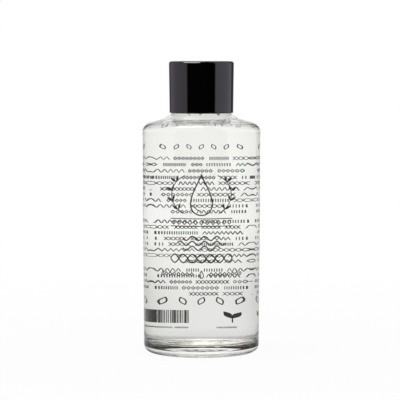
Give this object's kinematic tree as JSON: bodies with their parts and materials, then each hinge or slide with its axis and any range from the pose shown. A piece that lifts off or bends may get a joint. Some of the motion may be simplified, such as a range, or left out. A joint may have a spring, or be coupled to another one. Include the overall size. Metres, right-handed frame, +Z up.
{
  "type": "nail polish remover bottle",
  "caption": "Round clear glass bottle of remover fluid with a sloping shoulder and a glossy black screw cap over a threaded insert, a sealing wad and an orifice plug.",
  "frame": {"origin": "middle of the ring that the bottle stands on", "axes": "+Z up along the bottle's axis, -Y towards the printed front"},
  "size_m": [0.042, 0.042, 0.103],
  "materials": {
    "clear_glass": "polished",
    "remover_fluid": "polished",
    "milky_plug": "satin",
    "barrier_film": "satin",
    "white_foam": "matte",
    "moulded_white": "satin",
    "gloss_black": "gloss"
  },
  "bodies": {
    "bottle": {"glass_bottle": "clear_glass", "remover_fluid": "remover_fluid", "orifice_plug": "milky_plug"},
    "facing": {"seal_facing": "barrier_film"},
    "wad": {"seal_wad": "white_foam"},
    "cap": {"cap_insert": "moulded_white", "cap_shell": "gloss_black"}
  },
  "joints": [
    {"name": "cap_lift_off", "type": "slide", "parent": "bottle", "child": "facing", "axis": [0, 0, 1], "range_m": [0, 0.03]},
    {"name": "cap_rise", "type": "slide", "parent": "facing", "child": "wad", "axis": [0, 0, 1], "range_m": [0, 0.00477]},
    {"name": "cap_turn", "type": "hinge", "parent": "wad", "child": "cap", "pos_m": [0, 0, 0.0947], "axis": [0, 0, 1], "range_deg": [0, 540]}
  ],
  "couplings": [
    {"joint": "cap_rise", "follows": "cap_turn", "m_per_rad": 0.00050532}
  ]
}
